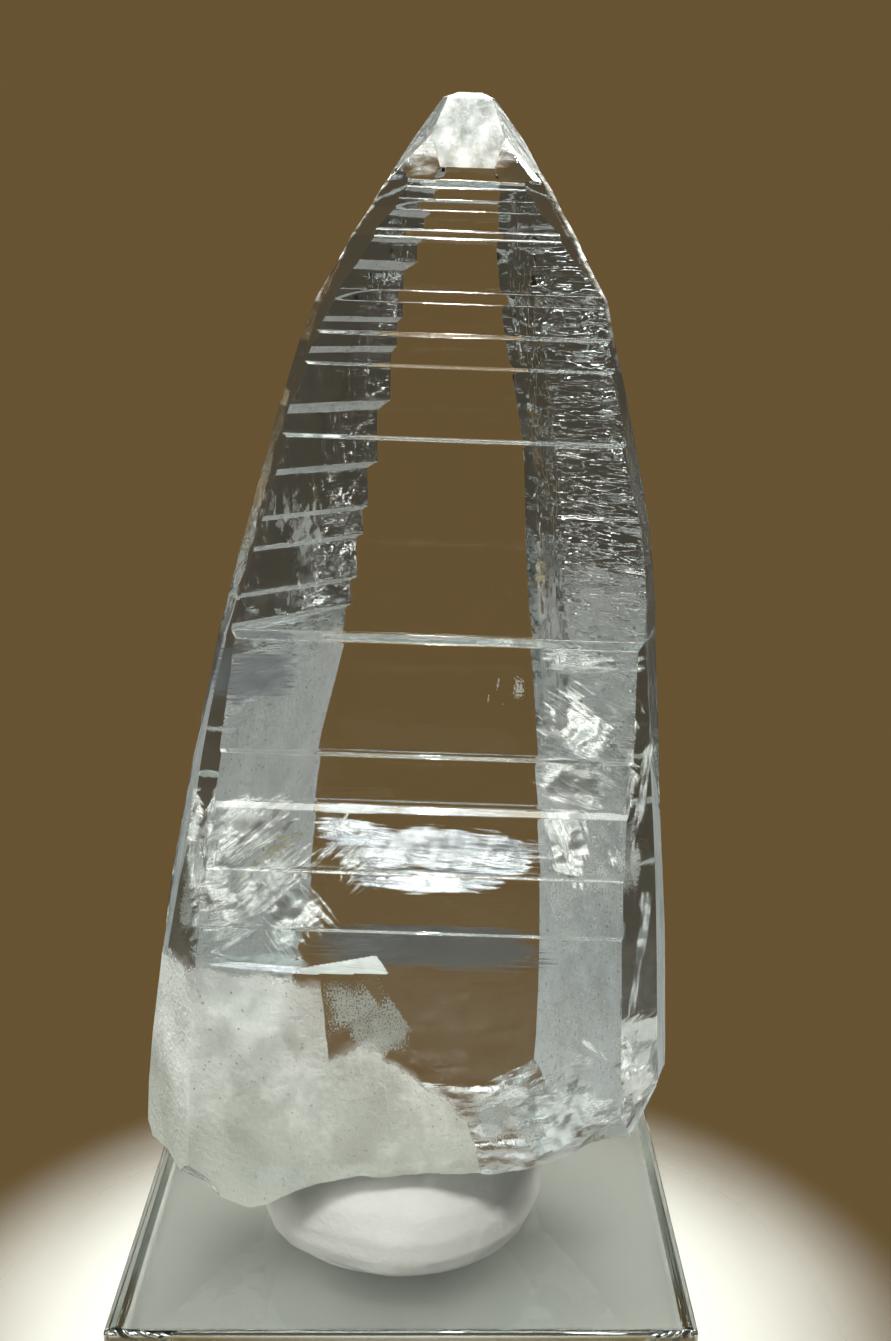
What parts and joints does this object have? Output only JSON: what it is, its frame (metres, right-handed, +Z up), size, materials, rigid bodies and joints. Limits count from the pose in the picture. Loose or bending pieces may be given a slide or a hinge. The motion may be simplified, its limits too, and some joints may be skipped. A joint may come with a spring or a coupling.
{
  "type": "quartz crystal specimen on display block",
  "caption": "Tall clear stepped quartz crystal standing on a pat of white putty on a square clear acrylic block.",
  "frame": {"origin": "middle of the block's underside, on the surface it stands on", "axes": "+Z up along the crystal, -Y towards the viewer of its broad front face, +X to that viewer's right"},
  "size_m": [0.1, 0.1, 0.2204],
  "materials": {
    "quartz": "clear natural crystal faces, milky and frosted at the broken foot and the point, rough fractures inside",
    "putty": "matte white kneaded putty, slightly dented",
    "acrylic": "polished clear acrylic with softly rounded edges"
  },
  "bodies": {
    "root": {"quartz_crystal": "quartz", "mounting_putty": "putty", "display_block": "acrylic"}
  },
  "joints": []
}
